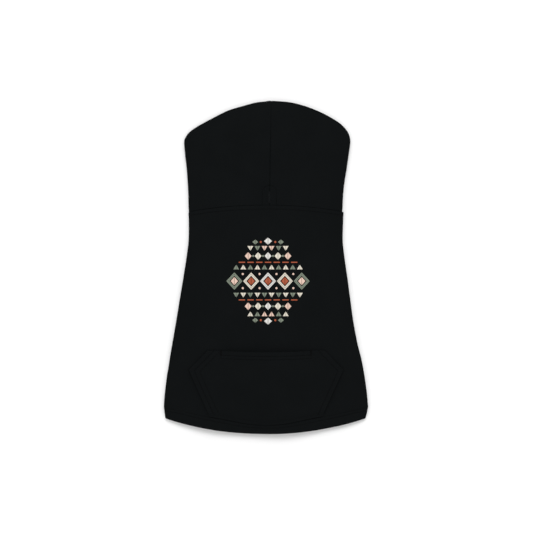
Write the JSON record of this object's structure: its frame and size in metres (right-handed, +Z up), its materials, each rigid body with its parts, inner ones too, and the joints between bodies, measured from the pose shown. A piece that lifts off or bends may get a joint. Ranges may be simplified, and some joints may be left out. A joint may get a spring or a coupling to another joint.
{
  "type": "dog hoodie",
  "caption": "Fleece dog hoodie lying flat on its belly side: spread hood with a leash opening, flared body, patch pocket on the back and bound leg openings.",
  "frame": {"origin": "on the surface it lies on, under the middle of the whole garment", "axes": "+Y from the hem to the top of the hood, +Z up from the surface, +X to the right as seen from above with the hood at the far end"},
  "size_m": [0.272, 0.445, 0.0337],
  "materials": {
    "black_fleece": "matt brushed knit",
    "black_rib": "matt rib knit"
  },
  "bodies": {
    "root": {"hood_left": "black_fleece", "hood_right": "black_fleece", "back_panel": "black_fleece", "belly_panel": "black_fleece", "pocket": "black_fleece", "leg_binding_left": "black_rib", "leg_binding_right": "black_rib"}
  },
  "joints": []
}
